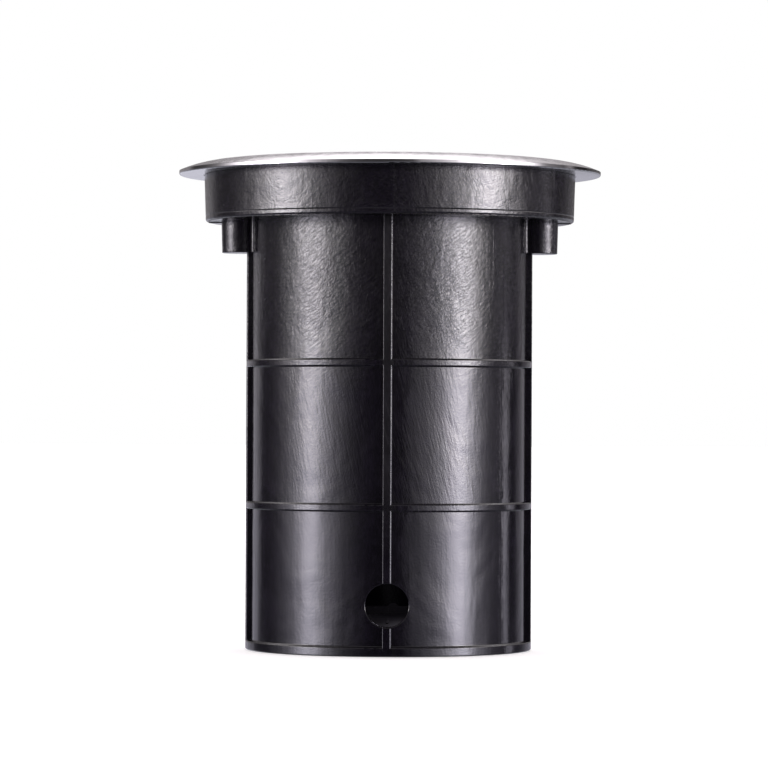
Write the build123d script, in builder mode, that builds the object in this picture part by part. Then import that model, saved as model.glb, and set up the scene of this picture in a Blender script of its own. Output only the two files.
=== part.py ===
from build123d import *
from math import cos, sin, radians
import os

os.makedirs("parts", exist_ok=True)

# In ground well light: a moulded mounting sleeve that is buried in the ground, and a
# luminaire that lifts out of it upwards. Millimetres, +Z up, origin at the centre of the
# sleeve's foot, cable entry towards -Y.

# ---------------------------------------------------------------- mounting sleeve
SLEEVE_R = 58.5  # outside of the tube wall
SLEEVE_WALL = 2.7
SLEEVE_IN = SLEEVE_R - SLEEVE_WALL
RIB_R = 61.0  # outside of the ring ribs, the vertical ribs and the foot
FOOT_H = 3.8
RING_RIB_H = 3.1
RING_RIB_Z = (61.4, 121.5)  # centres of the two ring ribs
RIB_W_TOP = 3.9  # vertical ribs, which taper downwards
RIB_W_BOTTOM = 3.7
COLLAR_Z = 182.0  # flat underside of the collar
COLLAR_TOP = 202.0
COLLAR_R_TOP = 79.25
COLLAR_R_BOTTOM = 78.65
COLLAR_FILLET = 1.0
COLLAR_LINE_Z = 184.4  # fine groove around the collar
COLLAR_IN = 76.2
SHELF_Z = 184.5  # the luminaire's flange rests on this shelf
BOSS_X = 66.7  # screw axes
BOSS_C = 63.2  # centres of the round bosses, which carry the screws off centre
BOSS_R = 8.8
BOSS_R_LOW = 8.43  # at the underside, 1.5 degrees of draft
BOSS_ROOT = 1.2  # radius where a boss meets the wall
BOSS_Z = 168.8  # underside of the screw bosses
INSERT_R = 3.5
INSERT_Z = (174.6, 184.0)
ENTRY_Z = 21.0  # cable entry
ENTRY_R = 9.0
PLATE_TOP = 12.2  # floor of the sleeve
PLATE_T = 3.0
PLATE_R = 55.5
PLATE_RIM_Z = 15.8

# ---------------------------------------------------------------- trim ring and glass
RING_Z = 201.9  # underside of the trim ring, level with the ground
RING_R = 90.0
RING_TOP = 207.7
RING_CROWN_R = 70.0  # the dome starts here and falls to the edge
RING_EDGE_Z = 203.6  # top of the upright edge band
RING_EDGE_FILLET = 0.6
RING_IN = 56.0
RING_GROOVE_R = (75.5, 79.7)  # shallow groove that the collar's top reaches into
RING_GROOVE_H = 0.4
RECESS_R = 63.8
LIP_Z = 204.5
TRIM_HEAD_Z = 207.55  # top of the trim screws' heads
GLASS_R = 60.0
GLASS_Z = (192.2, 201.2)
CLAMP_PCD_R = 68.6

# ---------------------------------------------------------------- lamp housing
FLANGE_Z = (186.5, 191.0)
FLANGE_R = 74.5
HOUSING_Z = 78.0
HOUSING_FLOOR = 82.0
GIMBAL_LEDGE_Z = 150.0
GEAR_LEDGE_Z = 116.0
GLAND_Y = -27.0
GLAND_AF = 24.0

# ---------------------------------------------------------------- tilting lamp head
PIVOT_Z = 160.0
EAR_X = (43.6, 46.4)
HEAD_R = 37.0

# ================================================================ mounting sleeve
# one vertical rib, a little wider at the top, with rounded outer edges
with BuildPart() as vertical_rib:
    with BuildSketch(Plane.XZ.offset(SLEEVE_R - 1.5)) as rib_face:
        with BuildLine() as rib_line:
            Polyline(
                (-RIB_W_BOTTOM / 2, 1.0),
                (RIB_W_BOTTOM / 2, 1.0),
                (RIB_W_TOP / 2, COLLAR_Z + 1.0),
                (-RIB_W_TOP / 2, COLLAR_Z + 1.0),
                close=True,
            )
        make_face()
    extrude(amount=RIB_R - SLEEVE_R + 1.5)
    fillet(vertical_rib.faces().sort_by(Axis.Y)[0].edges().sort_by(Axis.X)[0], radius=0.35)
    fillet(vertical_rib.faces().sort_by(Axis.Y)[0].edges().sort_by(Axis.X)[-1], radius=0.9)

# the front rib stops a little short of the cable entry
with BuildPart() as front_rib:
    add(vertical_rib.part)
    with BuildSketch(Plane.XZ.offset(SLEEVE_R - 4.0)) as rib_relief:
        with Locations((0, ENTRY_Z)):
            Circle(ENTRY_R + 0.45)
    extrude(amount=10.0, mode=Mode.SUBTRACT)

with BuildPart() as mounting_sleeve:
    # tube, foot, shelf and collar in one turn
    with BuildSketch(Plane.XZ) as sleeve_profile:
        with BuildLine() as sleeve_line:
            Polyline(
                (SLEEVE_IN, 0.0),
                (RIB_R - 0.4, 0.0),
                (RIB_R, 0.4),
                (RIB_R, FOOT_H - 0.5),
            )
            RadiusArc((RIB_R, FOOT_H - 0.5), (RIB_R - 0.5, FOOT_H), -0.5)
            Line((RIB_R - 0.5, FOOT_H), (SLEEVE_R + 0.5, FOOT_H))
            RadiusArc((SLEEVE_R + 0.5, FOOT_H), (SLEEVE_R, FOOT_H + 0.5), 0.5)
            Polyline(
                (SLEEVE_R, FOOT_H + 0.5),
                (SLEEVE_R, COLLAR_Z),
                (COLLAR_R_BOTTOM - COLLAR_FILLET, COLLAR_Z),
            )
            RadiusArc(
                (COLLAR_R_BOTTOM - COLLAR_FILLET, COLLAR_Z),
                (COLLAR_R_BOTTOM, COLLAR_Z + COLLAR_FILLET),
                -COLLAR_FILLET,
            )
            Polyline(
                (COLLAR_R_BOTTOM, COLLAR_Z + COLLAR_FILLET),
                (COLLAR_R_BOTTOM + 0.03, COLLAR_LINE_Z - 0.3),
                (COLLAR_R_BOTTOM - 0.1, COLLAR_LINE_Z),
                (COLLAR_R_BOTTOM + 0.05, COLLAR_LINE_Z + 0.3),
                (COLLAR_R_TOP, COLLAR_TOP - 0.15),
                (COLLAR_R_TOP - 0.15, COLLAR_TOP),
                (COLLAR_IN, COLLAR_TOP),
                (COLLAR_IN, SHELF_Z),
                (SLEEVE_IN, SHELF_Z),
                (SLEEVE_IN, PLATE_TOP - PLATE_T),
                (SLEEVE_IN - 2.2, PLATE_TOP - PLATE_T),
                (SLEEVE_IN - 2.2, PLATE_TOP - PLATE_T - 1.6),
                (SLEEVE_IN, PLATE_TOP - PLATE_T - 3.8),
                (SLEEVE_IN, 0.0),
            )
        make_face()
    revolve(axis=Axis.Z)
    # two ring ribs with rounded edges and small root radii
    for rib_z in RING_RIB_Z:
        with BuildSketch(Plane.XZ) as ring_rib:
            with BuildLine() as ring_rib_line:
                low = rib_z - RING_RIB_H / 2
                high = rib_z + RING_RIB_H / 2
                Line((SLEEVE_R - 1.0, low - 0.3), (SLEEVE_R, low - 0.3))
                RadiusArc((SLEEVE_R, low - 0.3), (SLEEVE_R + 0.3, low), 0.3)
                Line((SLEEVE_R + 0.3, low), (RIB_R - 0.6, low))
                RadiusArc((RIB_R - 0.6, low), (RIB_R, low + 0.6), -0.6)
                Line((RIB_R, low + 0.6), (RIB_R, high - 0.6))
                RadiusArc((RIB_R, high - 0.6), (RIB_R - 0.6, high), -0.6)
                Line((RIB_R - 0.6, high), (SLEEVE_R + 0.3, high))
                RadiusArc((SLEEVE_R + 0.3, high), (SLEEVE_R, high + 0.3), 0.3)
                Polyline(
                    (SLEEVE_R, high + 0.3),
                    (SLEEVE_R - 1.0, high + 0.3),
                    (SLEEVE_R - 1.0, low - 0.3),
                )
            make_face()
        revolve(axis=Axis.Z)
    # four vertical ribs
    add(front_rib.part)
    for quarter in range(1, 4):
        add(vertical_rib.part.rotate(Axis.Z, 90 * quarter))
    # round screw bosses against the wall, with a little draft and a root radius
    for side in (1, -1):
        for level, radius in ((COLLAR_Z + 1.0, BOSS_R), (BOSS_Z, BOSS_R_LOW)):
            with BuildSketch(Plane.XY.offset(level)) as boss_section:
                Circle(SLEEVE_R - 0.02)
                with Locations((side * BOSS_C, 0)):
                    Circle(radius)
                fillet(
                    boss_section.vertices().filter_by(lambda v: 50.0 < abs(v.X) < 60.0 and 5.0 < abs(v.Y) < 9.0),
                    radius=BOSS_ROOT,
                )
                Circle(SLEEVE_R - 1.2, mode=Mode.SUBTRACT)
                with Locations((0, 60.0), (0, -60.0)):
                    Rectangle(200.0, 96.0, mode=Mode.SUBTRACT)
                with Locations((-side * 30.0, 0)):
                    Rectangle(100.0, 60.0, mode=Mode.SUBTRACT)
        loft(ruled=True)
    fillet(
        mounting_sleeve.faces()
        .filter_by(Axis.Z)
        .filter_by(lambda f: abs(f.center().Z - BOSS_Z) < 0.01)
        .edges()
        .filter_by(GeomType.CIRCLE)
        .filter_by(lambda e: abs(e.radius - BOSS_R) < 1.0),
        radius=0.4,
    )
    # thin parting ridge on the collar's underside, outside each boss
    with Locations((74.1, 0, COLLAR_Z - 0.1), (-74.1, 0, COLLAR_Z - 0.1)):
        Box(6.6, 0.5, 0.6)
    # seats for the threaded inserts, deeper than the screws reach
    with BuildSketch(Plane.XY.offset(SHELF_Z)) as insert_seats:
        with Locations((BOSS_X, 0), (-BOSS_X, 0)):
            Circle(INSERT_R)
    extrude(amount=-(SHELF_Z - INSERT_Z[0]), mode=Mode.SUBTRACT)
    with BuildSketch(Plane.XY.offset(INSERT_Z[0])) as screw_wells:
        with Locations((BOSS_X, 0), (-BOSS_X, 0)):
            Circle(2.9)
    extrude(amount=-3.8, mode=Mode.SUBTRACT)
    # cable entry in line with the front rib, its outer edge rounded
    with BuildSketch(Plane.XZ.offset(SLEEVE_IN - 6.0)) as entry:
        with Locations((0, ENTRY_Z)):
            Circle(ENTRY_R)
    extrude(amount=14.0, mode=Mode.SUBTRACT)
    fillet(
        mounting_sleeve.edges().filter_by(
            lambda e: abs(e.center().X) < ENTRY_R + 1.0
            and abs(e.center().Z - ENTRY_Z) < ENTRY_R + 1.0
            and e.center().Y < -(SLEEVE_IN + 1.0)
            and e.length > 40.0
        ),
        radius=0.35,
    )
mounting_sleeve.part.label = "mounting_sleeve"

# ================================================================ threaded inserts
with BuildPart() as threaded_inserts:
    with BuildSketch(Plane.XY.offset(INSERT_Z[0])) as insert_rings:
        with Locations((BOSS_X, 0), (-BOSS_X, 0)):
            Circle(INSERT_R - 0.03)
            Circle(2.5, mode=Mode.SUBTRACT)
    extrude(amount=INSERT_Z[1] - INSERT_Z[0])
threaded_inserts.part.label = "threaded_inserts"

# ================================================================ base plate
with BuildPart() as base_plate:
    with BuildSketch(Plane.XZ) as plate_profile:
        with BuildLine() as plate_line:
            Polyline(
                (0, PLATE_TOP - PLATE_T),
                (PLATE_R, PLATE_TOP - PLATE_T),
                (PLATE_R, PLATE_RIM_Z - 0.4),
                (PLATE_R - 0.4, PLATE_RIM_Z),
                (PLATE_R - 1.8, PLATE_RIM_Z),
                (PLATE_R - 2.2, PLATE_RIM_Z - 0.4),
                (PLATE_R - 2.2, PLATE_TOP),
                (0, PLATE_TOP),
                close=True,
            )
        make_face()
    revolve(axis=Axis.Z)
    # drain slots
    with BuildSketch(Plane.XY.offset(PLATE_TOP - PLATE_T)) as slots:
        with PolarLocations(36, 6):
            SlotOverall(18, 4.5)
    extrude(amount=PLATE_T, mode=Mode.SUBTRACT)
    # the rim stops either side of the cable entry
    with BuildSketch(Plane.XY.offset(PLATE_TOP)) as rim_gap:
        with Locations((0, -PLATE_R)):
            Rectangle(24, 12)
    extrude(amount=8, mode=Mode.SUBTRACT)
    # low stiffening bead on the floor and a snap lug at the back of the rim
    with Locations((0, -12, PLATE_TOP + 0.2)):
        Box(1.0, 42, 0.8)
    with BuildSketch(Plane.XZ.offset(-(PLATE_R - 0.5))) as lug:
        with Locations((1.5, 14.5)):
            Circle(2.6)
    extrude(amount=1.6)
base_plate.part.label = "base_plate"

# ================================================================ trim ring
with BuildPart() as trim_ring:
    drop = RING_TOP - RING_EDGE_Z
    run = RING_R - RING_CROWN_R
    crown_radius = (run**2 + drop**2) / (2 * drop)
    with BuildSketch(Plane.XZ) as ring_profile:
        with BuildLine() as ring_line:
            Polyline(
                (RING_CROWN_R, RING_TOP),
                (RING_IN + 1.2, RING_TOP),
                (RING_IN, RING_TOP - 1.2),
                (RING_IN, LIP_Z),
                (RECESS_R, LIP_Z),
                (RECESS_R, RING_Z),
                (RING_GROOVE_R[0], RING_Z),
                (RING_GROOVE_R[0], RING_Z + RING_GROOVE_H),
                (RING_GROOVE_R[1], RING_Z + RING_GROOVE_H),
                (RING_GROOVE_R[1], RING_Z),
                (RING_R - RING_EDGE_FILLET, RING_Z),
            )
            RadiusArc(
                (RING_R - RING_EDGE_FILLET, RING_Z),
                (RING_R, RING_Z + RING_EDGE_FILLET),
                -RING_EDGE_FILLET,
            )
            Line((RING_R, RING_Z + RING_EDGE_FILLET), (RING_R, RING_EDGE_Z))
            RadiusArc((RING_R, RING_EDGE_Z), (RING_CROWN_R, RING_TOP), -crown_radius)
        make_face()
    revolve(axis=Axis.Z)
    with Locations((BOSS_X, 0, RING_TOP), (-BOSS_X, 0, RING_TOP)):
        CounterSinkHole(radius=2.8, counter_sink_radius=4.9, counter_sink_angle=90)
trim_ring.part.label = "trim_ring"

# ================================================================ trim screws
with BuildPart() as trim_screws:
    with BuildSketch(Plane.XZ) as trim_screw_profile:
        with BuildLine() as trim_screw_line:
            Polyline(
                (0, 173.4),
                (1.9, 173.4),
                (2.4, 173.9),
                (2.4, TRIM_HEAD_Z - 2.35),
                (4.55, TRIM_HEAD_Z - 0.2),
                (4.55, TRIM_HEAD_Z),
                (0, TRIM_HEAD_Z),
                close=True,
            )
        make_face()
    revolve(axis=Axis.Z)
    with BuildSketch(Plane.XY.offset(TRIM_HEAD_Z)) as trim_socket:
        RegularPolygon(radius=1.5, side_count=6, major_radius=False)
    extrude(amount=-2.2, mode=Mode.SUBTRACT)
one_trim_screw = trim_screws.part
with BuildPart() as trim_screws:
    for x in (-BOSS_X, BOSS_X):
        add(one_trim_screw.moved(Location((x, 0, 0))))
trim_screws.part.label = "trim_screws"

# ================================================================ lens glass
with BuildPart() as lens_glass:
    with BuildSketch(Plane.XY.offset(GLASS_Z[0])) as glass_disc:
        Circle(GLASS_R)
    extrude(amount=GLASS_Z[1] - GLASS_Z[0])
    chamfer(lens_glass.edges().filter_by(GeomType.CIRCLE), length=0.6)
lens_glass.part.label = "lens_glass"

# ================================================================ lens gasket
with BuildPart() as lens_gasket:
    with BuildSketch(Plane.XZ) as gasket_profile:
        with BuildLine() as gasket_line:
            Polyline(
                (56.5, FLANGE_Z[1]),
                (61.4, FLANGE_Z[1]),
                (61.4, 202.4),
                (57.2, 202.4),
                (57.2, GLASS_Z[1]),
                (60.1, GLASS_Z[1]),
                (60.1, GLASS_Z[0]),
                (56.5, GLASS_Z[0]),
                close=True,
            )
        make_face()
    revolve(axis=Axis.Z)
lens_gasket.part.label = "lens_gasket"

# ================================================================ glass clamp ring
with BuildPart() as glass_clamp_ring:
    with BuildSketch(Plane.XZ) as clamp_profile:
        with BuildLine() as clamp_line:
            Polyline(
                (61.5, FLANGE_Z[1]),
                (73.5, FLANGE_Z[1]),
                (73.5, RING_Z - 0.6),
                (72.9, RING_Z),
                (63.5, RING_Z),
                (63.5, 204.0),
                (63.3, 204.2),
                (57.6, 204.2),
                (57.0, 203.6),
                (57.0, 202.4),
                (61.5, 202.4),
                close=True,
            )
        make_face()
    revolve(axis=Axis.Z)
    with Locations((BOSS_X, 0, RING_Z), (-BOSS_X, 0, RING_Z)):
        Hole(radius=2.9)
    with PolarLocations(CLAMP_PCD_R, 6, start_angle=30):
        with Locations((0, 0, RING_Z)):
            CounterSinkHole(radius=2.2, counter_sink_radius=4.1, counter_sink_angle=90)
glass_clamp_ring.part.label = "glass_clamp_ring"

# ================================================================ clamp screws
with BuildPart() as clamp_screw:
    with BuildSketch(Plane.XZ) as clamp_screw_profile:
        with BuildLine() as clamp_screw_line:
            Polyline(
                (0, 187.4),
                (1.5, 187.4),
                (1.95, 187.85),
                (1.95, 199.75),
                (3.85, 201.65),
                (3.85, 201.8),
                (0, 201.8),
                close=True,
            )
        make_face()
    revolve(axis=Axis.Z)
    with BuildSketch(Plane.XY.offset(201.8)) as clamp_socket:
        RegularPolygon(radius=1.25, side_count=6, major_radius=False)
    extrude(amount=-1.8, mode=Mode.SUBTRACT)
with BuildPart() as clamp_screws:
    for k in range(6):
        a = radians(30 + 60 * k)
        add(clamp_screw.part.moved(Location((CLAMP_PCD_R * cos(a), CLAMP_PCD_R * sin(a), 0))))
clamp_screws.part.label = "clamp_screws"

# ================================================================ lamp housing
with BuildPart() as lamp_housing:
    with BuildSketch(Plane.XZ) as housing_profile:
        with BuildLine() as housing_line:
            Polyline(
                (0, HOUSING_Z),
                (46.0, HOUSING_Z),
                (47.0, HOUSING_Z + 1.0),
                (47.0, 106.0),
                (50.0, 109.0),
                (50.0, 144.0),
                (53.0, 147.0),
                (53.0, FLANGE_Z[0]),
                (FLANGE_R, FLANGE_Z[0]),
                (FLANGE_R, FLANGE_Z[1] - 0.5),
                (FLANGE_R - 0.5, FLANGE_Z[1]),
                (50.0, FLANGE_Z[1]),
                (50.0, 156.3),
                (51.1, 156.3),
                (51.1, 154.9),
                (50.0, 154.9),
                (50.0, GIMBAL_LEDGE_Z),
                (47.0, GIMBAL_LEDGE_Z),
                (47.0, GEAR_LEDGE_Z),
                (44.0, GEAR_LEDGE_Z),
                (44.0, HOUSING_FLOOR),
                (0, HOUSING_FLOOR),
                close=True,
            )
        make_face()
    revolve(axis=Axis.Z)
    # lugs for the gear plate's screws
    with BuildSketch(Plane.XY.offset(GEAR_LEDGE_Z)) as gear_lugs:
        with Locations((0, 41.0), (0, -41.0)):
            Circle(4.0)
    extrude(amount=-12.0)
    # earth boss
    with BuildSketch(Plane.XY.offset(HOUSING_FLOOR)) as earth_boss:
        with Locations((-26, -14)):
            Circle(4.0)
    extrude(amount=6.0)
    # tapped holes: gear plate, earth, driver
    with BuildSketch(Plane.XY.offset(GEAR_LEDGE_Z)) as gear_taps:
        with Locations((0, 41.0), (0, -41.0)):
            Circle(1.5)
    extrude(amount=-8.0, mode=Mode.SUBTRACT)
    with BuildSketch(Plane.XY.offset(HOUSING_FLOOR + 6.0)) as earth_tap:
        with Locations((-26, -14)):
            Circle(2.0)
    extrude(amount=-7.5, mode=Mode.SUBTRACT)
    with BuildSketch(Plane.XY.offset(HOUSING_FLOOR)) as driver_taps:
        with Locations((31.5, 14), (-31.5, 14)):
            Circle(1.5)
    extrude(amount=-2.8, mode=Mode.SUBTRACT)
    # the flange: two holes for the trim screws, six tapped holes for the clamp screws
    with Locations((BOSS_X, 0, FLANGE_Z[1]), (-BOSS_X, 0, FLANGE_Z[1])):
        Hole(radius=2.9, depth=6)
    with BuildSketch(Plane.XY.offset(FLANGE_Z[1])) as clamp_taps:
        with PolarLocations(CLAMP_PCD_R, 6, start_angle=30):
            Circle(2.0)
    extrude(amount=-3.9, mode=Mode.SUBTRACT)
    # cable gland hole
    with BuildSketch(Plane.XY.offset(HOUSING_Z - 1)) as gland_hole:
        with Locations((0, GLAND_Y)):
            Circle(10.1)
    extrude(amount=6, mode=Mode.SUBTRACT)
lamp_housing.part.label = "lamp_housing"

# ================================================================ flange gasket
with BuildPart() as flange_gasket:
    with BuildSketch(Plane.XY.offset(SHELF_Z + 0.05)) as flange_gasket_ring:
        Circle(74.0)
        Circle(58.5, mode=Mode.SUBTRACT)
        with Locations((BOSS_X, 0), (-BOSS_X, 0)):
            Circle(3.2, mode=Mode.SUBTRACT)
    extrude(amount=FLANGE_Z[0] - SHELF_Z - 0.05)
flange_gasket.part.label = "flange_gasket"

# ================================================================ gear plate
with BuildPart() as gear_plate:
    with BuildSketch(Plane.XY.offset(GEAR_LEDGE_Z)) as gear_disc:
        Circle(46.6)
        Circle(6.0, mode=Mode.SUBTRACT)
        with Locations((0, 41.0), (0, -41.0)):
            Circle(1.7, mode=Mode.SUBTRACT)
    extrude(amount=1.5)
gear_plate.part.label = "gear_plate"

with BuildPart() as gear_plate_screws:
    with BuildSketch(Plane.XY.offset(GEAR_LEDGE_Z + 1.5)) as gear_screw_heads:
        with Locations((0, 41.0), (0, -41.0)):
            Circle(2.8)
    extrude(amount=1.9)
    fillet(gear_plate_screws.edges().group_by(Axis.Z)[-1], radius=0.7)
    with BuildSketch(Plane.XY.offset(GEAR_LEDGE_Z + 1.5)) as gear_screw_shanks:
        with Locations((0, 41.0), (0, -41.0)):
            Circle(1.45)
    extrude(amount=-8.5)
    with BuildSketch(Plane.XY.offset(GEAR_LEDGE_Z + 3.4)) as gear_screw_slots:
        with Locations((0, 41.0), (0, -41.0)):
            Rectangle(3.2, 0.7)
            Rectangle(0.7, 3.2)
    extrude(amount=-1.1, mode=Mode.SUBTRACT)
gear_plate_screws.part.label = "gear_plate_screws"

# ================================================================ driver
with BuildPart() as led_driver:
    with Locations((0, 14, HOUSING_FLOOR + 10)):
        Box(56, 30, 20)
    fillet(led_driver.edges().filter_by(Axis.Z), radius=2.0)
    chamfer(led_driver.edges().group_by(Axis.Z)[-1], length=1.0)
    with BuildSketch(Plane.XY.offset(HOUSING_FLOOR)) as driver_ears:
        with Locations((0, 14)):
            RectangleRounded(70, 10, 2.0)
        with Locations((31.5, 14), (-31.5, 14)):
            Circle(1.7, mode=Mode.SUBTRACT)
    extrude(amount=2.5)
led_driver.part.label = "led_driver"

with BuildPart() as driver_screws:
    with BuildSketch(Plane.XY.offset(HOUSING_FLOOR + 2.5)) as driver_screw_heads:
        with Locations((31.5, 14), (-31.5, 14)):
            Circle(2.7)
    extrude(amount=2.0)
    fillet(driver_screws.edges().group_by(Axis.Z)[-1], radius=0.7)
    with BuildSketch(Plane.XY.offset(HOUSING_FLOOR + 2.5)) as driver_screw_shanks:
        with Locations((31.5, 14), (-31.5, 14)):
            Circle(1.45)
    extrude(amount=-5.0)
    with BuildSketch(Plane.XY.offset(HOUSING_FLOOR + 4.5)) as driver_screw_slots:
        with Locations((31.5, 14), (-31.5, 14)):
            Rectangle(3.2, 0.7)
            Rectangle(0.7, 3.2)
    extrude(amount=-1.1, mode=Mode.SUBTRACT)
driver_screws.part.label = "driver_screws"

# ================================================================ terminal block and earth screw
with BuildPart() as terminal_block:
    with Locations((27, -12.5, HOUSING_FLOOR + 6.5)):
        Box(12, 19, 13)
    chamfer(terminal_block.edges().group_by(Axis.Z)[-1], length=0.8)
    # three ways: a wire mouth in each side and a screw well in the top
    for way in (-6.2, 0, 6.2):
        with BuildSketch(Plane.YZ.offset(33)) as wire_mouth:
            with Locations((-12.5 + way, HOUSING_FLOOR + 4.5)):
                Circle(1.9)
        extrude(amount=-12, mode=Mode.SUBTRACT)
        with BuildSketch(Plane.XY.offset(HOUSING_FLOOR + 13)) as screw_well:
            with Locations((27, -12.5 + way)):
                Circle(1.8)
        extrude(amount=-7, mode=Mode.SUBTRACT)
terminal_block.part.label = "terminal_block"

with BuildPart() as earth_screw:
    with BuildSketch(Plane.XY.offset(HOUSING_FLOOR + 6)) as earth_head:
        with Locations((-26, -14)):
            Circle(3.8)
    extrude(amount=2.6)
    fillet(earth_screw.edges().group_by(Axis.Z)[-1], radius=0.9)
    with BuildSketch(Plane.XY.offset(HOUSING_FLOOR + 6)) as earth_shank:
        with Locations((-26, -14)):
            Circle(1.95)
    extrude(amount=-7.0)
    with BuildSketch(Plane.XY.offset(HOUSING_FLOOR + 8.6)) as earth_slot:
        with Locations((-26, -14)):
            Rectangle(4.4, 0.9)
            Rectangle(0.9, 4.4)
    extrude(amount=-1.4, mode=Mode.SUBTRACT)
earth_screw.part.label = "earth_screw"

# ================================================================ cable gland
with BuildPart() as gland_body:
    with BuildSketch(Plane.XY.offset(70.5)) as gland_hex:
        with Locations((0, GLAND_Y)):
            RegularPolygon(radius=GLAND_AF / 2, side_count=6, major_radius=False)
    extrude(amount=6.0)
    with BuildSketch(Plane.XY.offset(60.5)) as gland_thread:
        with Locations((0, GLAND_Y)):
            Circle(9.0)
    extrude(amount=10.0)
    with BuildSketch(Plane.XY.offset(76.5)) as gland_inner_thread:
        with Locations((0, GLAND_Y)):
            Circle(10.0)
    extrude(amount=12.5)
    with BuildSketch(Plane.XY.offset(60.5)) as gland_bore:
        with Locations((0, GLAND_Y)):
            Circle(6.1)
    extrude(amount=29, mode=Mode.SUBTRACT)
gland_body.part.label = "gland_body"

with BuildPart() as gland_washer:
    with BuildSketch(Plane.XY.offset(76.5)) as gland_washer_ring:
        with Locations((0, GLAND_Y)):
            Circle(12.4)
            Circle(10.2, mode=Mode.SUBTRACT)
    extrude(amount=1.5)
gland_washer.part.label = "gland_washer"

with BuildPart() as gland_seal:
    with BuildSketch(Plane.XY.offset(58.5)) as gland_seal_ring:
        with Locations((0, GLAND_Y)):
            Circle(5.9)
            Circle(4.7, mode=Mode.SUBTRACT)
    extrude(amount=10.5)
gland_seal.part.label = "gland_seal"

with BuildPart() as gland_nut:
    with BuildSketch(Plane.XY.offset(58.0)) as nut_hex:
        with Locations((0, GLAND_Y)):
            RegularPolygon(radius=GLAND_AF / 2, side_count=6, major_radius=False)
    extrude(amount=11.5)
    with BuildSketch(Plane.XY.offset(58.0)) as nut_dome:
        with Locations((0, GLAND_Y)):
            Circle(GLAND_AF / 2)
    extrude(amount=-4.0, taper=35)
    with BuildSketch(Plane.XY.offset(58.5)) as nut_cavity:
        with Locations((0, GLAND_Y)):
            Circle(9.2)
    extrude(amount=12, mode=Mode.SUBTRACT)
    with BuildSketch(Plane.XY.offset(53.0)) as nut_mouth:
        with Locations((0, GLAND_Y)):
            Circle(5.4)
    extrude(amount=6, mode=Mode.SUBTRACT)
gland_nut.part.label = "gland_nut"

with BuildPart() as gland_locknut:
    with BuildSketch(Plane.XY.offset(HOUSING_FLOOR)) as locknut_hex:
        with Locations((0, GLAND_Y)):
            RegularPolygon(radius=GLAND_AF / 2, side_count=6, major_radius=False)
            Circle(10.05, mode=Mode.SUBTRACT)
    extrude(amount=4.5)
gland_locknut.part.label = "gland_locknut"

# ================================================================ gimbal ring
with BuildPart() as gimbal_ring:
    with BuildSketch(Plane.XY.offset(GIMBAL_LEDGE_Z + 0.2)) as gimbal_flange:
        Circle(49.6)
        Circle(EAR_X[0], mode=Mode.SUBTRACT)
    extrude(amount=4.2)
    for side in (1, -1):
        with BuildSketch(Plane.YZ.offset(side * EAR_X[0])) as ear:
            with Locations((0, (PIVOT_Z + 152) / 2)):
                Rectangle(14, PIVOT_Z - 152)
            with Locations((0, PIVOT_Z)):
                Circle(7.0)
                Circle(2.55, mode=Mode.SUBTRACT)
        extrude(amount=side * (EAR_X[1] - EAR_X[0]))
gimbal_ring.part.label = "gimbal_ring"

# spring ring in the housing's groove, which keeps the gimbal ring on its ledge
with BuildPart() as retaining_ring:
    with BuildSketch(Plane.XY.offset(155.0)) as retaining_face:
        Circle(51.0)
        Circle(47.5, mode=Mode.SUBTRACT)
        with Locations((0, 49)):
            Rectangle(9, 8, mode=Mode.SUBTRACT)
    extrude(amount=1.2)
retaining_ring.part.label = "retaining_ring"

# ================================================================ pivots
with BuildPart() as pivot_screw:
    with BuildSketch(Plane.XY) as pivot_profile:
        with BuildLine() as pivot_line:
            Polyline(
                (38.6, 0),
                (38.6, 1.6),
                (38.9, 1.95),
                (42.6, 1.95),
                (42.6, 2.5),
                (46.6, 2.5),
                (46.6, 3.6),
                (48.2, 3.6),
                (48.6, 3.2),
                (48.6, 0),
                close=True,
            )
        make_face()
    revolve(axis=Axis.X)
    with BuildSketch(Plane.YZ.offset(48.6)) as pivot_socket:
        RegularPolygon(radius=1.5, side_count=6, major_radius=False)
    extrude(amount=-1.6, mode=Mode.SUBTRACT)
with BuildPart() as pivot_screws:
    for turn in (0, 180):
        add(pivot_screw.part.rotate(Axis.Z, turn).moved(Location((0, 0, PIVOT_Z))))
pivot_screws.part.label = "pivot_screws"

with BuildPart() as friction_washers:
    for side in (1, -1):
        with BuildSketch(Plane.YZ.offset(side * 42.65)) as friction_washer:
            with Locations((0, PIVOT_Z)):
                Circle(5.4)
                Circle(2.6, mode=Mode.SUBTRACT)
        extrude(amount=side * 0.7)
friction_washers.part.label = "friction_washers"

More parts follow.
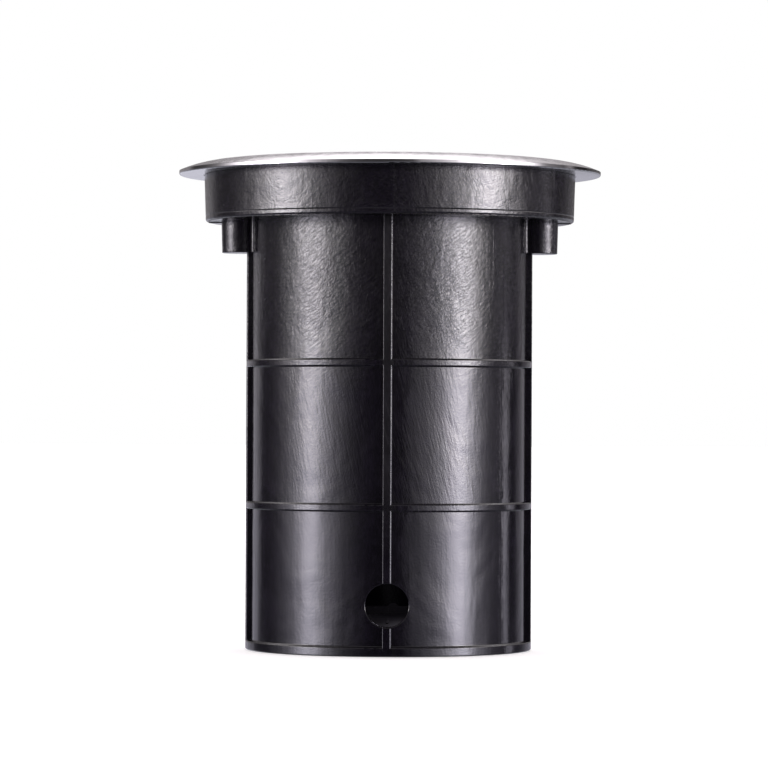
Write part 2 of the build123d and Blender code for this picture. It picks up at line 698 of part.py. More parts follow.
# ================================================================ heat sink of the lamp head
with BuildPart() as heat_sink:
    with BuildSketch(Plane.XZ) as sink_profile:
        with BuildLine() as sink_line:
            Polyline(
                (0, 145.0),
                (HEAD_R - 1.0, 145.0),
                (HEAD_R, 146.0),
                (HEAD_R, 173.0),
                (34.6, 173.0),
                (34.6, 150.0),
                (0, 150.0),
                close=True,
            )
        make_face()
    revolve(axis=Axis.Z)
    # pivot bosses
    for side in (1, -1):
        with BuildSketch(Plane.YZ.offset(side * (HEAD_R - 1.5))) as pivot_boss:
            with Locations((0, PIVOT_Z)):
                Circle(6.0)
        extrude(amount=side * (42.6 - HEAD_R + 1.5))
        with BuildSketch(Plane.YZ.offset(side * 42.6)) as pivot_tap:
            with Locations((0, PIVOT_Z)):
                Circle(2.0)
        extrude(amount=-side * 4.6, mode=Mode.SUBTRACT)
    # cooling fins underneath
    with BuildSketch(Plane.XY.offset(130.0)) as fins:
        Circle(34.0)
        with GridLocations(7.6, 1, 8, 1):
            Rectangle(5.4, 80, mode=Mode.SUBTRACT)
    extrude(amount=15.5)
    # tapped holes for the board screws and a wire hole
    with BuildSketch(Plane.XY.offset(150.0)) as board_taps:
        with Locations((0, 17), (0, -17)):
            Circle(1.5)
        with Locations((27, 0)):
            Circle(2.5)
    extrude(amount=-5.0, mode=Mode.SUBTRACT)
heat_sink.part.label = "heat_sink"

# ================================================================ light source
with BuildPart() as led_board:
    with BuildSketch(Plane.XY.offset(150.0)) as board_disc:
        Circle(21.0)
        with Locations((0, 17), (0, -17)):
            Circle(1.6, mode=Mode.SUBTRACT)
    extrude(amount=1.6)
led_board.part.label = "led_board"

with BuildPart() as board_screws:
    with BuildSketch(Plane.XY.offset(151.6)) as board_screw_heads:
        with Locations((0, 17), (0, -17)):
            Circle(2.5)
    extrude(amount=1.5)
    fillet(board_screws.edges().group_by(Axis.Z)[-1], radius=0.5)
    with BuildSketch(Plane.XY.offset(151.6)) as board_screw_shanks:
        with Locations((0, 17), (0, -17)):
            Circle(1.45)
    extrude(amount=-5.0)
    with BuildSketch(Plane.XY.offset(153.1)) as board_screw_slots:
        with Locations((0, 17), (0, -17)):
            Rectangle(2.8, 0.6)
            Rectangle(0.6, 2.8)
    extrude(amount=-0.8, mode=Mode.SUBTRACT)
board_screws.part.label = "board_screws"

with BuildPart() as led_emitter:
    with BuildSketch(Plane.XY.offset(151.6)) as emitter_base:
        RectangleRounded(12, 12, 0.8)
    extrude(amount=0.7)
    with BuildSketch(Plane.XY.offset(152.3)) as emitter_dam:
        Circle(5.6)
    extrude(amount=0.5)
    fillet(led_emitter.edges().group_by(Axis.Z)[-1], radius=0.3)
led_emitter.part.label = "led_emitter"

# ================================================================ reflector
with BuildPart() as reflector:
    stations = [9.0, 12.0, 16.0, 20.5, 25.5, 30.0, 33.0]
    heights = [152.2 + 20.6 * (r**2 - 81.0) / (33.0**2 - 81.0) for r in stations]
    with BuildSketch(Plane.XZ) as reflector_profile:
        with BuildLine() as reflector_line:
            Spline(*[(r, z) for r, z in zip(stations, heights)])
            Polyline(
                (33.0, 172.8),
                (33.0, 173.4),
                (34.4, 173.4),
                (34.4, 172.6),
                (33.8, 172.6),
            )
            Spline(*[(r + 0.8, z - 0.2) for r, z in reversed(list(zip(stations, heights)))])
            Line((9.8, 152.0), (9.0, 152.2))
        make_face()
    revolve(axis=Axis.Z)
reflector.part.label = "reflector"

with BuildPart() as inner_lens:
    with BuildSketch(Plane.XY.offset(173.4)) as inner_lens_disc:
        Circle(35.8)
    extrude(amount=2.6)
    chamfer(inner_lens.edges().group_by(Axis.Z)[-1], length=0.4)
inner_lens.part.label = "inner_lens"

with BuildPart() as lens_bezel:
    with BuildSketch(Plane.XZ) as bezel_profile:
        with BuildLine() as bezel_line:
            Polyline(
                (37.15, 169.0),
                (38.4, 169.0),
                (38.4, 176.9),
                (37.8, 177.5),
                (33.0, 177.5),
                (32.4, 176.9),
                (32.4, 176.1),
                (36.0, 176.1),
                (36.0, 173.2),
                (37.15, 173.2),
                close=True,
            )
        make_face()
    revolve(axis=Axis.Z)
lens_bezel.part.label = "lens_bezel"

# ================================================================ write the pieces
export_step(mounting_sleeve.part, "parts/mounting_sleeve.step")
export_step(threaded_inserts.part, "parts/threaded_inserts.step")
export_step(base_plate.part, "parts/base_plate.step")
export_step(trim_ring.part, "parts/trim_ring.step")
export_step(trim_screws.part, "parts/trim_screws.step")
export_step(lens_glass.part, "parts/lens_glass.step")
export_step(lens_gasket.part, "parts/lens_gasket.step")
export_step(glass_clamp_ring.part, "parts/glass_clamp_ring.step")
export_step(clamp_screws.part, "parts/clamp_screws.step")
export_step(lamp_housing.part, "parts/lamp_housing.step")
export_step(flange_gasket.part, "parts/flange_gasket.step")
export_step(gear_plate.part, "parts/gear_plate.step")
export_step(gear_plate_screws.part, "parts/gear_plate_screws.step")
export_step(led_driver.part, "parts/led_driver.step")
export_step(driver_screws.part, "parts/driver_screws.step")
export_step(terminal_block.part, "parts/terminal_block.step")
export_step(earth_screw.part, "parts/earth_screw.step")
export_step(gland_body.part, "parts/gland_body.step")
export_step(gland_washer.part, "parts/gland_washer.step")
export_step(gland_seal.part, "parts/gland_seal.step")
export_step(gland_nut.part, "parts/gland_nut.step")
export_step(gland_locknut.part, "parts/gland_locknut.step")
export_step(gimbal_ring.part, "parts/gimbal_ring.step")
export_step(retaining_ring.part, "parts/retaining_ring.step")
export_step(pivot_screws.part, "parts/pivot_screws.step")
export_step(friction_washers.part, "parts/friction_washers.step")
export_step(heat_sink.part, "parts/heat_sink.step")
export_step(led_board.part, "parts/led_board.step")
export_step(board_screws.part, "parts/board_screws.step")
export_step(led_emitter.part, "parts/led_emitter.step")
export_step(reflector.part, "parts/reflector.step")
export_step(inner_lens.part, "parts/inner_lens.step")
export_step(lens_bezel.part, "parts/lens_bezel.step")
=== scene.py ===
import math

import bpy
from mathutils import Matrix, Vector

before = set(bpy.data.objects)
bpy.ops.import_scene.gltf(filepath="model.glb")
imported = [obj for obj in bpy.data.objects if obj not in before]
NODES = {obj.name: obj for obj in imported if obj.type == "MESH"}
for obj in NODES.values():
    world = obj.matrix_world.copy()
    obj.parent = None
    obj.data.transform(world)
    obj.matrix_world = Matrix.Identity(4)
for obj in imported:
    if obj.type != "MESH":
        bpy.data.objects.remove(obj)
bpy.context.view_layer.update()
scene = bpy.context.scene

# ------------------------------------------------------------------ camera
cam_data = bpy.data.cameras.new("camera")
cam_data.lens = 189.4
cam_data.sensor_width = 36.0
cam_data.clip_start = 0.05
cam_data.clip_end = 60.0
cam = bpy.data.objects.new("camera", cam_data)
scene.collection.objects.link(cam)
turn = Matrix.Rotation(math.radians(0.60), 4, "Z")
eye = Vector((-0.00218, -1.727, 0.0973))
aim = Vector((-0.00218, 0.0, 0.1131))
look = (aim - eye).to_track_quat("-Z", "Y").to_matrix().to_4x4()
cam.matrix_world = turn @ Matrix.Translation(eye) @ look @ Matrix.Rotation(math.radians(0.25), 4, "Z")
scene.camera = cam

scene.view_settings.view_transform = "Standard"
scene.view_settings.look = "None"


# ------------------------------------------------------------------ node helpers
class Tree:
    """Short calls for building a node tree."""

    def __init__(self, tree):
        self.t = tree
        self.n = tree.nodes
        self.n.clear()

    def new(self, kind, **attrs):
        node = self.n.new(kind)
        for k, v in attrs.items():
            setattr(node, k, v)
        return node

    def put(self, socket, value):
        if value is None:
            return
        if isinstance(value, bpy.types.NodeSocket):
            self.t.links.new(value, socket)
        else:
            socket.default_value = value

    def math(self, op, a, b=None, c=None, clamp=False):
        node = self.new("ShaderNodeMath", operation=op, use_clamp=clamp)
        for s, v in zip(node.inputs, (a, b, c)):
            self.put(s, v)
        return node.outputs[0]

    def add(self, *values):
        total = values[0]
        for v in values[1:]:
            total = self.math("ADD", total, v)
        return total

    def mul(self, *values):
        total = values[0]
        for v in values[1:]:
            total = self.math("MULTIPLY", total, v)
        return total

    def remap(self, value, a, b, c=0.0, d=1.0, kind="SMOOTHSTEP"):
        node = self.new("ShaderNodeMapRange", interpolation_type=kind, clamp=True)
        for s, v in zip(node.inputs, (value, a, b, c, d)):
            self.put(s, v)
        return node.outputs[0]

    def ramp(self, value, stops, mode="LINEAR"):
        """stops are (position, grey or colour)."""
        node = self.new("ShaderNodeValToRGB")
        node.color_ramp.interpolation = mode
        el = node.color_ramp.elements
        while len(el) > 1:
            el.remove(el[-1])
        for i, (p, v) in enumerate(stops):
            e = el[0] if i == 0 else el.new(p)
            e.position = p
            e.color = (v, v, v, 1.0) if isinstance(v, (int, float)) else (*v, 1.0)
        self.put(node.inputs[0], value)
        return node.outputs[0]

    def mix(self, kind, fac, a, b, blend="MIX"):
        node = self.new("ShaderNodeMix", data_type=kind, blend_type=blend) if kind == "RGBA" else self.new(
            "ShaderNodeMix", data_type=kind
        )
        socks = {"FLOAT": (0, 2, 3, 0), "RGBA": (0, 6, 7, 2), "VECTOR": (0, 4, 5, 1)}[kind]
        self.put(node.inputs[socks[0]], fac)
        self.put(node.inputs[socks[1]], a)
        self.put(node.inputs[socks[2]], b)
        return node.outputs[socks[3]]

    def vec(self, x, y, z):
        node = self.new("ShaderNodeCombineXYZ")
        for s, v in zip(node.inputs, (x, y, z)):
            self.put(s, v)
        return node.outputs[0]

    def xyz(self, vector):
        node = self.new("ShaderNodeSeparateXYZ")
        self.put(node.inputs[0], vector)
        return node.outputs

    def noise(self, vector, scale, detail=2.0, rough=0.5, distortion=0.0):
        node = self.new("ShaderNodeTexNoise", noise_dimensions="3D")
        self.put(node.inputs["Vector"], vector)
        node.inputs["Scale"].default_value = scale
        node.inputs["Detail"].default_value = detail
        node.inputs["Roughness"].default_value = rough
        node.inputs["Distortion"].default_value = distortion
        return node.outputs["Fac"]

    def cells(self, vector, scale, feature="F1"):
        node = self.new("ShaderNodeTexVoronoi", feature=feature)
        self.put(node.inputs["Vector"], vector)
        node.inputs["Scale"].default_value = scale
        return node.outputs["Distance"]

    def bump(self, height, strength, distance, normal=None):
        node = self.new("ShaderNodeBump")
        node.inputs["Strength"].default_value = strength
        node.inputs["Distance"].default_value = distance
        self.put(node.inputs["Height"], height)
        if normal is not None:
            self.put(node.inputs["Normal"], normal)
        return node.outputs[0]


# ------------------------------------------------------------------ studio light
# The studio as seen from the object: th is the bearing in degrees, 0 towards the camera and
# positive to the right, el the height above the horizon. Two soft boxes stand to the left and
# right of a dark front, brighter upwards; the room behind is pale and grows white upwards.
LEFT = [
    (-180, 0.42), (-150, 0.46), (-144, 0.50), (-140, 0.40), (-137, 0.22), (-133, 0.08), (-126, 0.08),
    (-120, 0.10), (-114, 0.17), (-108, 0.30), (-102, 0.56), (-96, 0.96), (-90, 1.55), (-84, 2.8), (-78, 5.2),
    (-73, 8.7), (-68, 10.2), (-64, 9.6), (-60, 6.5), (-54, 3.9), (-48, 2.3), (-42, 1.25), (-36, 0.75),
    (-30, 0.44), (-24, 0.19), (-18, 0.12), (-12, 0.08), (0, 0.07),
]
RIGHT = [
    (0, 0.07), (9, 0.10), (13, 0.15), (18, 0.56), (24, 0.78), (30, 1.20), (36, 1.75), (42, 3.0), (48, 5.3),
    (54, 10.0), (59, 13.2), (63, 14.0), (67, 12.2), (72, 7.6), (78, 3.4), (84, 1.65), (90, 1.0), (96, 0.55),
    (102, 0.40), (109, 0.25), (118, 0.20), (124, 0.06), (134, 0.06), (138, 0.18), (144, 0.28), (150, 0.33),
    (160, 0.36), (180, 0.42),
]

world = bpy.data.worlds.new("studio")
scene.world = world
world.use_nodes = True
w = Tree(world.node_tree)
dx, dy, dz = w.xyz(w.new("ShaderNodeTexCoord").outputs["Generated"])
th = w.math("MULTIPLY", w.math("ARCTAN2", dx, w.math("MULTIPLY", dy, -1.0)), 180 / math.pi)
el = w.math("MULTIPLY", w.math("ARCSINE", dz), 180 / math.pi)
far = w.math("ABSOLUTE", th)
half_l = w.ramp(w.math("DIVIDE", w.math("ADD", th, 180.0), 180.0), [((a + 180) / 180, v / 16) for a, v in LEFT])
half_r = w.ramp(w.math("DIVIDE", th, 180.0), [(a / 180, v / 16) for a, v in RIGHT])
level = w.mul(w.mix("FLOAT", w.math("GREATER_THAN", th, 0.0), half_l, half_r), 16.0)
# a low pale strip far to the right
strip = w.mul(w.remap(w.math("ABSOLUTE", w.math("SUBTRACT", th, 115.0)), 1.0, 6.0, 2.1, 0.0), w.remap(el, 0.0, 3.0, 1.0, 0.15))
level = w.mul(w.add(level, strip), 1.08)
# both soft boxes are narrower higher up
sides = w.add(
    w.remap(far, 52.0, 64.0, 0.46, 0.0), w.remap(th, 82.0, 94.0, 0.0, 0.60), w.remap(w.mul(th, -1.0), 92.0, 108.0, 0.0, 0.32)
)
level = w.mul(level, w.math("SUBTRACT", 1.0, w.mul(sides, w.remap(el, 0.4, 3.2))))
# the front grows brighter upwards, e-fold in 7.6 degrees
lift = w.math("POWER", 2.718281828, w.mul(w.math("MINIMUM", w.math("MAXIMUM", el, -20.0), 7.0), 0.132))
level = w.mul(level, w.mix("FLOAT", w.remap(far, 124.0, 142.0), lift, 1.0))
# upwards: the room behind brightens to white, the front falls back to a dim ceiling
back = w.remap(far, 60.0, 130.0)
wall = w.remap(dx, -0.25, 0.25, 0.26, 0.42)
level = w.mix("FLOAT", w.mul(back, w.remap(el, 4.0, 8.0)), level, wall)
sky = w.mix("FLOAT", back, 0.42, w.remap(el, 60.0, 76.0, 3.0, 0.85))
up = w.remap(el, w.mix("FLOAT", back, 8.5, 22.0), w.mix("FLOAT", back, 15.0, 42.0))
level = w.mix("FLOAT", up, level, sky)
# downwards: pale floor, lighter towards the back and to the left
behind = w.remap(dx, -0.04, 0.05, 0.84, 0.46)
low = w.mix("FLOAT", w.remap(far, 148.0, 170.0), w.mix("FLOAT", back, 0.22, 0.28), behind)
down = w.remap(w.mul(el, -1.0), w.mix("FLOAT", back, 8.0, 3.3), w.mix("FLOAT", back, 24.0, 4.6))
level = w.mix("FLOAT", down, level, low)
tint = w.mix("RGBA", w.remap(el, -2.4, 3.2, 0.0, 1.0, "LINEAR"), (0.995, 0.958, 1.120, 1.0), (1.02, 0.966, 0.995, 1.0))
tint = w.mix("RGBA", down, tint, (0.93, 0.94, 1.06, 1.0))
seen = w.new("ShaderNodeBackground")
seen.inputs["Color"].default_value = (1.0, 1.0, 1.0, 1.0)
seen.inputs["Strength"].default_value = 1.0
lit = w.new("ShaderNodeBackground")
w.put(lit.inputs["Color"], tint)
w.put(lit.inputs["Strength"], level)
pick = w.new("ShaderNodeMixShader")
w.put(pick.inputs[0], w.new("ShaderNodeLightPath").outputs["Is Camera Ray"])
w.put(pick.inputs[1], lit.outputs[0])
w.put(pick.inputs[2], seen.outputs[0])
w.put(w.new("ShaderNodeOutputWorld").inputs["Surface"], pick.outputs[0])
world.cycles.sampling_method = "MANUAL"
world.cycles.sample_map_resolution = 1024

# ------------------------------------------------------------------ floor
floor_mesh = bpy.data.meshes.new("floor")
S = 14.0
floor_mesh.from_pydata([(-S, -S, 0), (S, -S, 0), (S, S, 0), (-S, S, 0)], [], [(0, 1, 2, 3)])
floor = bpy.data.objects.new("floor", floor_mesh)
scene.collection.objects.link(floor)
floor.location.z = -0.0002
floor.visible_glossy = False
fm = bpy.data.materials.new("floor_white")
fm.use_nodes = True
f = Tree(fm.node_tree)
fb = f.new("ShaderNodeBsdfDiffuse")
fb.inputs["Color"].default_value = (0.82, 0.82, 0.82, 1.0)
fe = f.new("ShaderNodeEmission")
fe.inputs["Color"].default_value = (1.0, 1.0, 1.0, 1.0)
fe.inputs["Strength"].default_value = 0.35
fa = f.new("ShaderNodeAddShader")
f.put(fa.inputs[0], fb.outputs[0])
f.put(fa.inputs[1], fe.outputs[0])
f.put(f.new("ShaderNodeOutputMaterial").inputs["Surface"], fa.outputs[0])
floor_mesh.materials.append(fm)

# a weak lamp inside the sleeve shows the floor plate through the cable entry
inner = bpy.data.lights.new("inside_fill", "AREA")
inner.shape = "DISK"
inner.size = 0.03
inner.color = (0.90, 0.84, 1.0)
inner.energy = 0.009
inner_obj = bpy.data.objects.new("inside_fill", inner)
inner_obj.matrix_world = Matrix.Translation((0.020, 0.005, 0.052)) @ Matrix.Rotation(math.radians(-12), 4, "Y")
scene.collection.objects.link(inner_obj)


# ------------------------------------------------------------------ materials
def material(name):
    m = bpy.data.materials.new(name)
    m.use_nodes = True
    t = Tree(m.node_tree)
    b = t.new("ShaderNodeBsdfPrincipled")
    o = t.new("ShaderNodeOutputMaterial")
    t.put(o.inputs["Surface"], b.outputs[0])
    return m, t, b


def use(node, mat):
    o = NODES[node]
    o.data.materials.clear()
    o.data.materials.append(mat)
    for p in o.data.polygons:
        p.material_index = 0


def around(t, obj):
    """Bearing in degrees (0 at the front, + to the right), radius and height of a point."""
    x, y, z = t.xyz(obj)
    bearing = t.mul(t.math("ARCTAN2", x, t.mul(y, -1.0)), 180 / math.pi)
    radius = t.math("SQRT", t.add(t.mul(x, x), t.mul(y, y)))
    return x, y, z, bearing, radius


def surface(name, dark, light, metallic, rough, grain, bump_mm, brushed=None, specks=0.0, coat=0.0, aniso=0.0):
    """A finish with colour variation, uneven gloss and fine relief. rough is (low, high),
    grain the feature size in mm, brushed the axis that the marks run along or 'round'."""
    m, t, b = material(name)
    obj = t.new("ShaderNodeTexCoord").outputs["Object"]
    x, y, z, bearing, radius = around(t, obj)
    per_m = 1000.0 / grain
    if brushed == "round":
        marks = t.vec(t.mul(radius, per_m), t.mul(z, per_m), t.mul(bearing, 0.02))
    elif brushed == "x":
        marks = t.vec(t.mul(x, per_m * 0.04), t.mul(y, per_m), t.mul(z, per_m))
    elif brushed == "z":
        marks = t.vec(t.mul(x, per_m), t.mul(y, per_m), t.mul(z, per_m * 0.04))
    else:
        marks = t.vec(t.mul(x, per_m), t.mul(y, per_m), t.mul(z, per_m))
    fine = t.noise(marks, 1.0, 3.0, 0.6)
    broad = t.noise(obj, 1000.0 / (grain * 14.0), 3.0, 0.55, 0.4)
    mix = t.remap(t.add(t.mul(fine, 0.45), t.mul(broad, 0.55)), 0.36, 0.64)
    colour = t.mix("RGBA", mix, (*dark, 1.0), (*light, 1.0))
    if specks:
        spot = t.remap(t.cells(obj, 1000.0 / (grain * 5.0)), 0.10, 0.16, 1.0, 0.0)
        colour = t.mix("RGBA", t.mul(spot, specks), colour, (*[min(1.0, c * 1.6 + 0.02) for c in light], 1.0))
    t.put(b.inputs["Base Color"], colour)
    b.inputs["Metallic"].default_value = metallic
    t.put(b.inputs["Roughness"], t.remap(t.add(t.mul(broad, 0.6), t.mul(fine, 0.4)), 0.35, 0.65, rough[0], rough[1], "LINEAR"))
    if coat:
        b.inputs["Coat Weight"].default_value = coat
        b.inputs["Coat Roughness"].default_value = 0.12
    if aniso:
        b.inputs["Anisotropic"].default_value = aniso
        b.inputs["Anisotropic Rotation"].default_value = 0.25
        t.put(b.inputs["Tangent"], t.new("ShaderNodeTangent", direction_type="RADIAL", axis="Z").outputs[0])
    low_relief = t.bump(broad, 0.6, bump_mm * 0.004)
    t.put(b.inputs["Normal"], t.bump(fine, 1.0, bump_mm * 0.001, low_relief))
    return m


# moulded black plastic: glossy, with a mottled skin that is strongest near the top, fine
# upright draw marks lower down, a few flow lines and a slightly wavy wall
plastic, t, b = material("black_gloss_plastic")
obj = t.new("ShaderNodeTexCoord").outputs["Object"]
x, y, z, bearing, radius = around(t, obj)
high = t.remap(z, 0.098, 0.150)
mottle = t.noise(obj, 560.0, 4.0, 0.62, 0.8)
pits = t.noise(obj, 1500.0, 2.0, 0.55)
draw = t.noise(t.vec(t.add(t.mul(x, 900.0), t.mul(z, 260.0)), t.mul(y, 900.0), t.mul(z, 70.0)), 1.0, 3.0, 0.6)
streak = t.noise(t.vec(t.mul(x, 300.0), t.mul(y, 300.0), t.mul(z, 12.0)), 1.0, 3.0, 0.6)
wave = t.noise(t.vec(t.mul(x, 48.0), t.mul(y, 48.0), t.mul(z, 34.0)), 1.0, 2.0, 0.5, 0.5)
cloud = t.noise(obj, 90.0, 4.0, 0.6, 0.6)
rub = t.noise(obj, 26.0, 3.0, 0.6)
# small dimples, some shallow and some missing
dots = t.remap(t.cells(t.vec(t.mul(x, 1.0), t.mul(y, 1.0), t.mul(z, 0.8)), 640.0), 0.0, 0.42)
some = t.remap(t.noise(obj, 330.0, 1.0, 0.5), 0.44, 0.58)
dimple = t.mix("FLOAT", some, 1.0, dots)
patchy = t.noise(obj, 230.0, 3.0, 0.65, 1.2)
# the collar's wall swells very slightly towards its lower edge
swell = t.mul(t.remap(radius, 0.0770, 0.0780), t.mul(z, -1.0))
n = t.bump(swell, 1.0, 0.030)
n = t.bump(wave, 1.0, 0.00036, n)
slant = t.noise(
    t.vec(
        t.add(t.mul(z, 820.0), t.mul(x, -600.0)),
        t.add(t.mul(x, 260.0), t.mul(z, 190.0)),
        t.mul(y, 430.0),
    ),
    1.0,
    4.0,
    0.64,
    0.6,
)
collar = t.remap(radius, 0.0765, 0.0775)
dash = t.noise(t.vec(t.mul(x, 420.0), t.mul(y, 420.0), t.mul(z, 1700.0)), 1.0, 3.0, 0.62)
wall_only = t.mul(high, t.math("SUBTRACT", 1.0, t.mul(collar, 0.65)))
sway = t.noise(t.vec(t.mul(x, 95.0), t.mul(y, 95.0), t.mul(z, 70.0)), 1.0, 2.0, 0.5, 0.8)
n = t.bump(t.mul(sway, high), 1.0, 0.00022, n)
n = t.bump(t.mul(patchy, high), 1.0, 0.000085, n)
n = t.bump(t.mul(slant, wall_only), 1.0, 0.000165, n)
n = t.bump(t.mul(dash, collar), 1.0, 0.000040, n)
n = t.bump(t.mul(mottle, t.add(0.30, t.mul(high, 0.70))), 1.0, 0.000038, n)
n = t.bump(t.mul(dimple, t.add(0.25, t.mul(high, 0.75))), 1.0, 0.000016, n)
n = t.bump(t.mul(pits, t.add(0.70, t.mul(high, 0.30))), 1.0, 0.000046, n)
middle = t.mul(t.remap(z, 0.050, 0.072), t.remap(z, 0.110, 0.135, 1.0, 0.35))
n = t.bump(t.mul(draw, t.add(0.35, t.mul(middle, 0.65))), 1.0, 0.000070, n)
n = t.bump(streak, 1.0, 0.000050, n)


# upright flow lines on the wall: narrow ridges at given bearings and heights
def line(at, half_mm, z0, z1, beads):
    off = t.mul(t.math("ABSOLUTE", t.math("SUBTRACT", bearing, at)), math.radians(1.0) * 58.5)
    shape = t.remap(off, 0.0, half_mm, 1.0, 0.0)
    span = t.mul(t.remap(z, z0, z0 + 0.004), t.remap(z, z1 - 0.004, z1, 1.0, 0.0))
    grain = t.remap(t.noise(obj, beads, 1.0, 0.5), 0.42, 0.56)
    return t.mul(shape, span, grain)


ridges = t.math(
    "MAXIMUM",
    line(48.4, 0.22, 0.148, 0.181, 800.0),
    t.math(
        "MAXIMUM",
        t.mul(line(54.8, 1.10, 0.002, 0.179, 40.0), 0.80),
        t.mul(line(44.6, 0.22, 0.156, 0.180, 700.0), 0.4),
    ),
)
n = t.bump(ridges, 1.0, 0.00010, n)
t.put(b.inputs["Normal"], n)
t.put(
    b.inputs["Base Color"],
    t.mix(
        "RGBA",
        t.remap(t.add(t.mul(mottle, 0.5), t.mul(cloud, 0.5)), 0.38, 0.66),
        (0.0013, 0.0008, 0.0022, 1.0),
        (0.0039, 0.0029, 0.0060, 1.0),
    ),
)
# the front rib's face is rubbed dull
rubbed = t.mul(
    t.remap(t.math("ABSOLUTE", t.add(y, 0.0610)), 0.00004, 0.00012, 1.0, 0.0),
    t.remap(t.math("ABSOLUTE", x), 0.0021, 0.0023, 1.0, 0.0),
    t.remap(z, 0.015, 0.080),
)
# and its right corner is worn soft
worn = t.mul(t.remap(y, -0.0600, -0.0596, 1.0, 0.0), t.remap(x, 0.0020, 0.0022), t.remap(x, 0.0034, 0.0040, 1.0, 0.0))
t.put(
    b.inputs["Roughness"],
    t.add(
        t.mul(rubbed, 0.24),
        t.mul(worn, 0.12),
        t.remap(t.add(t.mul(cloud, 0.45), t.mul(rub, 0.3), t.mul(mottle, 0.25)), 0.36, 0.64, 0.045, 0.115, "LINEAR"),
        t.mul(t.remap(t.add(t.mul(patchy, 0.20), t.mul(mottle, 0.30), t.mul(slant, 0.50)), 0.49, 0.61), t.add(0.02, t.mul(high, 0.13))),
        t.mul(t.remap(draw, 0.56, 0.66), t.mul(middle, 0.10)),
        t.mul(t.math("SUBTRACT", 1.0, dimple), t.add(0.02, t.mul(high, 0.10))),
    ),
)
use("mounting_sleeve", plastic)

# the plate at the bottom is the same plastic with a film of dust
plate_mat = surface(
    "dusty_black_plastic", (0.010, 0.009, 0.011), (0.022, 0.020, 0.023), 0.0, (0.30, 0.55), 0.9, 0.02, specks=0.5
)
use("base_plate", plate_mat)

# turned and polished stainless steel
steel, t, b = material("turned_steel")
obj = t.new("ShaderNodeTexCoord").outputs["Object"]
x, y, z, bearing, radius = around(t, obj)
turned = t.noise(t.vec(t.mul(radius, 2600.0), t.mul(z, 2600.0), t.mul(bearing, 0.03)), 1.0, 3.0, 0.65)
rays = t.noise(t.vec(t.mul(x, 260.0), t.mul(y, 260.0), t.mul(z, 40.0)), 1.0, 4.0, 0.65)
smear = t.noise(obj, 55.0, 3.0, 0.6, 0.8)
# the upright edge is more polished than the domed top, and its steel colour is darkened there as painted shade
rim = t.remap(radius, 0.0890, 0.0896)
colour = t.mix(
    "RGBA",
    t.remap(t.add(t.mul(rays, 0.5), t.mul(smear, 0.5)), 0.36, 0.64),
    (0.57, 0.56, 0.575, 1.0),
    (0.68, 0.67, 0.685, 1.0),
)
# painted shade: a darker copy of the same steel colour on the upright edge band
edge_painted_shade_colour = t.mix("RGBA", smear, (0.36, 0.353, 0.366, 1.0), (0.48, 0.472, 0.488, 1.0))
t.put(b.inputs["Base Color"], t.mix("RGBA", rim, colour, edge_painted_shade_colour))
b.inputs["Metallic"].default_value = 1.0
top_gloss = t.remap(t.add(t.mul(rays, 0.6), t.mul(turned, 0.4)), 0.35, 0.65, 0.15, 0.23, "LINEAR")
edge_gloss = t.remap(rays, 0.35, 0.65, 0.040, 0.080, "LINEAR")
t.put(b.inputs["Roughness"], t.mix("FLOAT", rim, top_gloss, edge_gloss))
b.inputs["Anisotropic"].default_value = 0.75
b.inputs["Anisotropic Rotation"].default_value = 0.25
t.put(b.inputs["Tangent"], t.new("ShaderNodeTangent", direction_type="RADIAL", axis="Z").outputs[0])
n = t.bump(rays, 1.0, 0.000022)
t.put(b.inputs["Normal"], t.bump(turned, 1.0, 0.0000025, n))
use("trim_ring", steel)

screw_steel = surface(
    "plain_screw_steel", (0.50, 0.50, 0.51), (0.66, 0.66, 0.67), 1.0, (0.16, 0.32), 0.35, 0.004, specks=0.15
)
for n_ in ("trim_screws", "clamp_screws", "gear_plate_screws", "driver_screws", "pivot_screws", "board_screws"):
    use(n_, screw_steel)
brass = surface(
    "turned_brass", (0.60, 0.42, 0.18), (0.78, 0.59, 0.30), 1.0, (0.22, 0.38), 0.35, 0.004, specks=0.1
)
use("threaded_inserts", brass)
use("earth_screw", brass)
spring = surface(
    "phosphated_spring_steel", (0.16, 0.16, 0.17), (0.30, 0.30, 0.32), 0.9, (0.35, 0.50), 0.30, 0.005, specks=0.2
)
use("retaining_ring", spring)
rubber = surface(
    "black_silicone", (0.010, 0.010, 0.011), (0.024, 0.024, 0.026), 0.0, (0.48, 0.66), 0.40, 0.010, specks=0.4
)
for n_ in ("lens_gasket", "flange_gasket", "gland_washer", "gland_seal"):
    use(n_, rubber)
clamp_al = surface(
    "black_anodised_turned", (0.022, 0.022, 0.025), (0.048, 0.048, 0.053), 0.55, (0.26, 0.40), 0.30, 0.006, "round"
)
use("glass_clamp_ring", clamp_al)
head_al = surface(
    "black_anodised_head", (0.018, 0.018, 0.020), (0.040, 0.040, 0.044), 0.5, (0.28, 0.42), 0.32, 0.006, "z"
)
for n_ in ("heat_sink", "gimbal_ring", "lens_bezel"):
    use(n_, head_al)
powder = surface(
    "black_powder_coat", (0.014, 0.014, 0.016), (0.028, 0.028, 0.031), 0.0, (0.38, 0.56), 0.55, 0.045, coat=0.15
)
use("lamp_housing", powder)
sheet = surface(
    "bare_aluminium_sheet", (0.60, 0.60, 0.61), (0.76, 0.76, 0.77), 1.0, (0.22, 0.38), 0.28, 0.004, "x"
)
use("gear_plate", sheet)
case_mat = surface(
    "white_moulded_case", (0.70, 0.70, 0.67), (0.82, 0.82, 0.79), 0.0, (0.34, 0.48), 0.50, 0.016, specks=0.1
)
use("led_driver", case_mat)
terminal = surface(
    "natural_polyamide", (0.62, 0.61, 0.56), (0.78, 0.77, 0.71), 0.0, (0.36, 0.52), 0.40, 0.010, specks=0.1
)
use("terminal_block", terminal)
use("friction_washers", terminal)
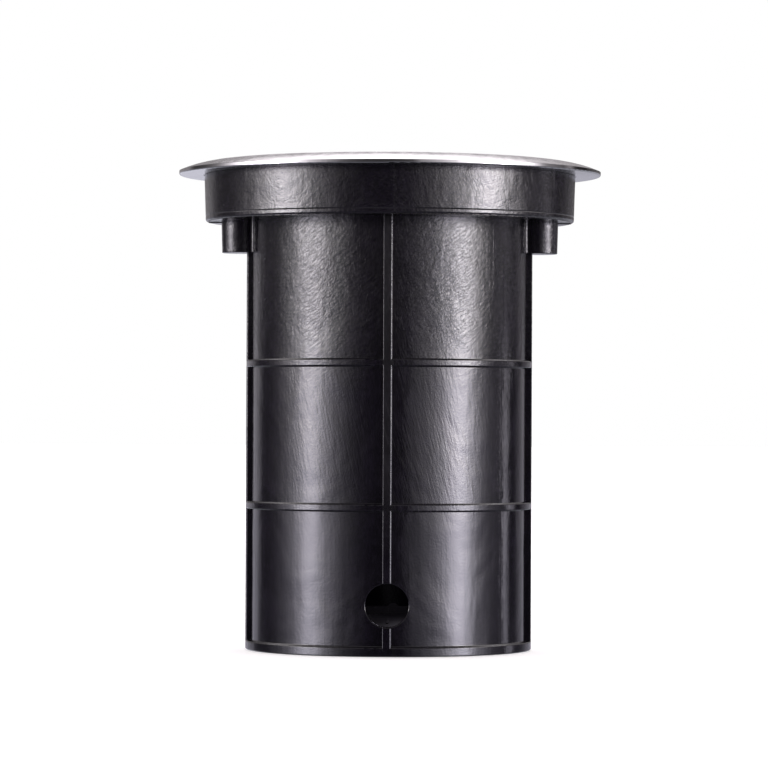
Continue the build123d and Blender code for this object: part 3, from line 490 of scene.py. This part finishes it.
gland = surface(
    "black_polyamide", (0.012, 0.012, 0.013), (0.026, 0.026, 0.028), 0.0, (0.30, 0.46), 0.40, 0.016, specks=0.3
)
for n_ in ("gland_body", "gland_nut", "gland_locknut"):
    use(n_, gland)
board = surface(
    "white_solder_mask", (0.72, 0.72, 0.70), (0.84, 0.84, 0.82), 0.0, (0.20, 0.34), 0.45, 0.006, specks=0.1
)
use("led_board", board)

# yellow phosphor: fine grains in clear silicone
phosphor, t, b = material("yellow_phosphor")
obj = t.new("ShaderNodeTexCoord").outputs["Object"]
grain = t.noise(obj, 5200.0, 2.0, 0.6)
patch = t.noise(obj, 600.0, 2.0, 0.5)
t.put(
    b.inputs["Base Color"],
    t.mix(
        "RGBA",
        t.remap(t.add(t.mul(grain, 0.6), t.mul(patch, 0.4)), 0.36, 0.64),
        (0.78, 0.58, 0.10, 1.0),
        (0.92, 0.76, 0.20, 1.0),
    ),
)
t.put(b.inputs["Roughness"], t.remap(grain, 0.35, 0.65, 0.22, 0.42, "LINEAR"))
t.put(b.inputs["Normal"], t.bump(grain, 1.0, 0.00002))
use("led_emitter", phosphor)

# polished reflector with faint turning rings
refl, t, b = material("polished_reflector")
obj = t.new("ShaderNodeTexCoord").outputs["Object"]
x, y, z, bearing, radius = around(t, obj)
rings = t.noise(t.vec(t.mul(radius, 2200.0), t.mul(z, 2200.0), t.mul(bearing, 0.01)), 1.0, 3.0, 0.6)
film = t.noise(obj, 120.0, 3.0, 0.6)
t.put(
    b.inputs["Base Color"],
    t.mix("RGBA", t.remap(film, 0.36, 0.64), (0.80, 0.80, 0.81, 1.0), (0.91, 0.91, 0.92, 1.0)),
)
b.inputs["Metallic"].default_value = 1.0
t.put(b.inputs["Roughness"], t.remap(t.add(t.mul(rings, 0.6), t.mul(film, 0.4)), 0.35, 0.65, 0.06, 0.14, "LINEAR"))
t.put(b.inputs["Normal"], t.bump(rings, 1.0, 0.000004))
use("reflector", refl)


# clear glass and the clear inner lens: a slight tint, faint film and polish marks
def clear(name, colour, rough, ior, film_scale):
    m, t, b = material(name)
    obj = t.new("ShaderNodeTexCoord").outputs["Object"]
    film = t.noise(obj, film_scale, 4.0, 0.62, 0.6)
    marks = t.noise(obj, film_scale * 14.0, 2.0, 0.5)
    t.put(
        b.inputs["Base Color"],
        t.mix("RGBA", t.remap(film, 0.35, 0.65), (*colour, 1.0), (*[c * 0.985 for c in colour], 1.0)),
    )
    b.inputs["Transmission Weight"].default_value = 1.0
    b.inputs["IOR"].default_value = ior
    t.put(b.inputs["Roughness"], t.remap(t.add(t.mul(film, 0.7), t.mul(marks, 0.3)), 0.42, 0.70, rough, rough + 0.05, "LINEAR"))
    t.put(b.inputs["Normal"], t.bump(marks, 1.0, 0.0000008))
    return m


use("lens_glass", clear("toughened_glass", (0.965, 0.985, 0.975), 0.006, 1.52, 45.0))
use("inner_lens", clear("clear_acrylic", (0.985, 0.988, 0.990), 0.010, 1.49, 70.0))
